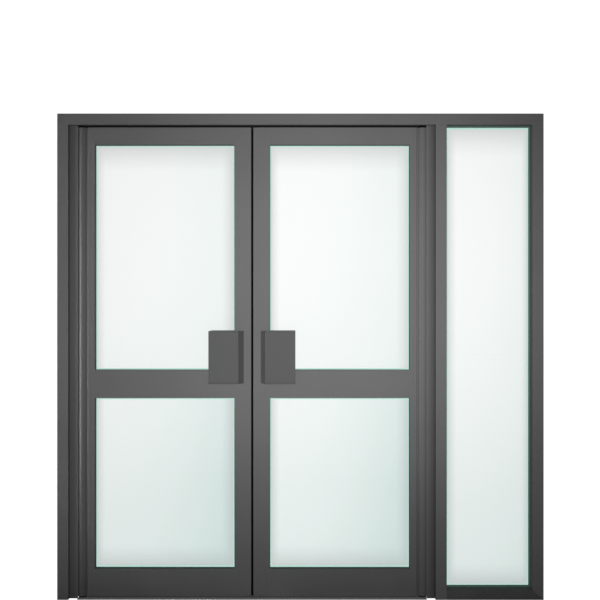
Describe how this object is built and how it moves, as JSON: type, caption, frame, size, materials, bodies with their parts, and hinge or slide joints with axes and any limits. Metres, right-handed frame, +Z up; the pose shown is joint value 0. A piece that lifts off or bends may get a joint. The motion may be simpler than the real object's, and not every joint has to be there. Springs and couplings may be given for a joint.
{
  "type": "aluminium shop door",
  "caption": "Glazed aluminium shopfront door with a pair of swing leaves, cranked plate handles and a fixed sidelight in one frame.",
  "frame": {"origin": "on the floor, halfway along the frame and halfway through its depth", "axes": "+X along the shopfront towards the sidelight, +Y into the shop, +Z up"},
  "size_m": [2.1, 0.134, 2.1],
  "materials": {
    "charcoal_coat": "satin powder coat",
    "handle_coat": "satin powder coat",
    "natural_aluminium": "natural anodised",
    "glass": "clear laminated",
    "rubber": "black gasket",
    "steel": "machined"
  },
  "bodies": {
    "frame": {"left_jamb": "charcoal_coat", "right_jamb": "charcoal_coat", "head": "charcoal_coat", "mullion": "charcoal_coat", "sidelight_sill": "charcoal_coat", "left_filler": "charcoal_coat", "right_filler": "charcoal_coat", "threshold": "natural_aluminium", "sidelight_glass": "glass", "sidelight_gaskets": "rubber", "left_pivot_pins": "steel", "right_pivot_pins": "steel"},
    "left_leaf": {"left_hinge_stile": "charcoal_coat", "left_meeting_stile": "charcoal_coat", "left_top_rail": "charcoal_coat", "left_mid_rail": "charcoal_coat", "left_bottom_rail": "charcoal_coat", "left_upper_glass": "glass", "left_lower_glass": "glass", "left_upper_beads": "charcoal_coat", "left_lower_beads": "charcoal_coat", "left_upper_gaskets": "rubber", "left_lower_gaskets": "rubber", "left_pivot_blocks": "steel", "left_front_handle": "handle_coat", "left_back_handle": "handle_coat"},
    "right_leaf": {"right_hinge_stile": "charcoal_coat", "right_meeting_stile": "charcoal_coat", "right_top_rail": "charcoal_coat", "right_mid_rail": "charcoal_coat", "right_bottom_rail": "charcoal_coat", "right_upper_glass": "glass", "right_lower_glass": "glass", "right_upper_beads": "charcoal_coat", "right_lower_beads": "charcoal_coat", "right_upper_gaskets": "rubber", "right_lower_gaskets": "rubber", "right_pivot_blocks": "steel", "right_front_handle": "handle_coat", "right_back_handle": "handle_coat"}
  },
  "joints": [
    {"name": "left_leaf_swing", "type": "hinge", "parent": "frame", "child": "left_leaf", "pos_m": [-0.94835, 0, 0], "axis": [0, 0, -1], "range_deg": [-90, 90], "stiffness_Nm_per_rad": 12},
    {"name": "right_leaf_swing", "type": "hinge", "parent": "frame", "child": "right_leaf", "pos_m": [0.53035, 0, 0], "axis": [0, 0, 1], "range_deg": [-90, 90], "stiffness_Nm_per_rad": 12}
  ]
}
